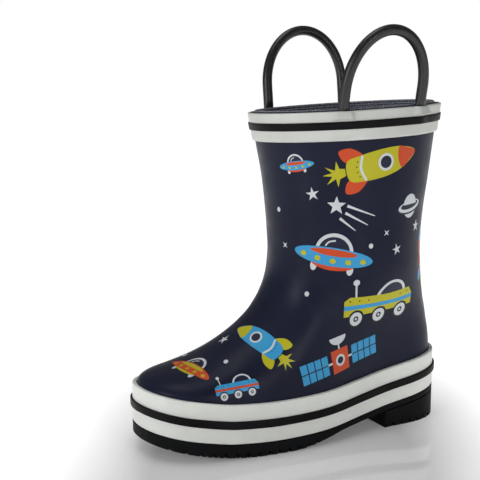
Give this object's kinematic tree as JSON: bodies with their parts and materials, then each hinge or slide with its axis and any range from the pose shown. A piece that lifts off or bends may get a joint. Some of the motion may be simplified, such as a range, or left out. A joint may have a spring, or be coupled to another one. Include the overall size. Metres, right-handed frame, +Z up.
{
  "type": "rubber rain boot",
  "caption": "Child's pull-on rubber rain boot for the left foot, knit-lined, with a taped collar and foxing, a heeled lug sole and two flexible pull loops at the mouth.",
  "frame": {"origin": "on the ground, under the middle of the whole boot's bounding box", "axes": "+Z up along the leg, -Y towards the toe, +Y towards the heel, +X towards the outer (lateral) side of this left boot"},
  "size_m": [0.109, 0.1958, 0.2388],
  "materials": {
    "navy_rubber": "satin printed rubber with space toys, stars and planets in blue, orange and yellow-green",
    "white_rubber": "smooth off-white rubber tape, soft sheen",
    "black_rubber": "smooth black rubber, soft sheen",
    "knit_lining": "grey and navy marled knit",
    "stiffener": "resin-stiffened cloth, matt",
    "insole_board": "pressed fibre board, matt",
    "sponge_rubber": "fine-celled sponge rubber, matt",
    "footbed_foam": "soft foam, matt",
    "footbed_cloth": "close-knit cloth, matt"
  },
  "bodies": {
    "boot": {"upper_shell": "navy_rubber", "lining": "knit_lining", "toe_puff": "stiffener", "heel_counter": "stiffener", "insole_board": "insole_board", "midsole_filler": "sponge_rubber", "footbed_foam": "footbed_foam", "footbed_cloth": "footbed_cloth", "outsole": "black_rubber", "heel_block": "black_rubber", "foxing_tape": "white_rubber", "foxing_stripe": "black_rubber", "collar_tape": "white_rubber", "collar_stripe": "black_rubber", "handle_root_lateral_front": "black_rubber", "handle_root_lateral_rear": "black_rubber", "handle_root_medial_front": "black_rubber", "handle_root_medial_rear": "black_rubber"},
    "lateral_handle": {"handle_lateral_loop": "black_rubber"},
    "medial_handle": {"handle_medial_loop": "black_rubber"}
  },
  "joints": [
    {"name": "lateral_handle_fold", "type": "hinge", "parent": "boot", "child": "lateral_handle", "pos_m": [0.04351, 0.03141, 0.19278], "axis": [0.0505, 0.9972, 0.0546], "range_deg": [-60, 75], "stiffness_Nm_per_rad": 0.03},
    {"name": "medial_handle_fold", "type": "hinge", "parent": "boot", "child": "medial_handle", "pos_m": [-0.04546, 0.03316, 0.19287], "axis": [0.0233, -0.9982, -0.0547], "range_deg": [-60, 75], "stiffness_Nm_per_rad": 0.03}
  ]
}
